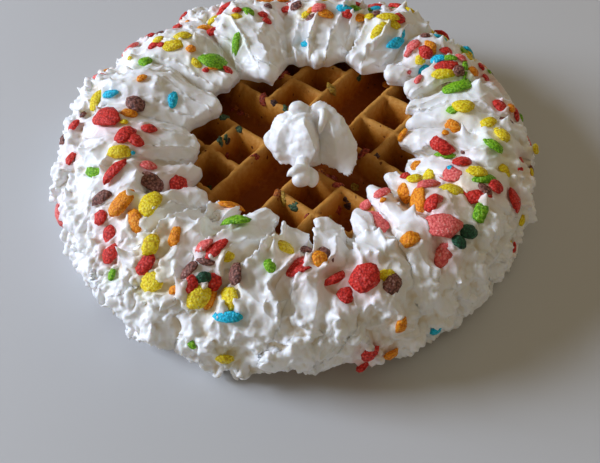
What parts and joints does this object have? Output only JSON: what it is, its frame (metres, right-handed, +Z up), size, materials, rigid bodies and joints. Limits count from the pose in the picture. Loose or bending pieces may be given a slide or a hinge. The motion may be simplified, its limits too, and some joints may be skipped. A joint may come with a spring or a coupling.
{
  "type": "waffle with whipped cream",
  "caption": "Round deep-pocketed waffle lying flat, with a thick piped ring of whipped cream round its rim, a small cream swirl in its middle and coloured crisp rice flakes on the cream.",
  "frame": {"origin": "middle of the whole part's footprint, at the height that the waffle lies on", "axes": "+Z up out of the waffle's top face; -Y towards the viewer of the picture; +X to the viewer's right"},
  "size_m": [0.213, 0.2128, 0.0513],
  "materials": {
    "baked_waffle": "golden brown baked batter, matt, with fine pores",
    "whipped_cream": "soft white whipped cream with a slight wet sheen"
  },
  "bodies": {
    "root": {"waffle": "baked_waffle", "cream_ring": "whipped_cream", "cream_swirl": "whipped_cream"}
  },
  "joints": []
}
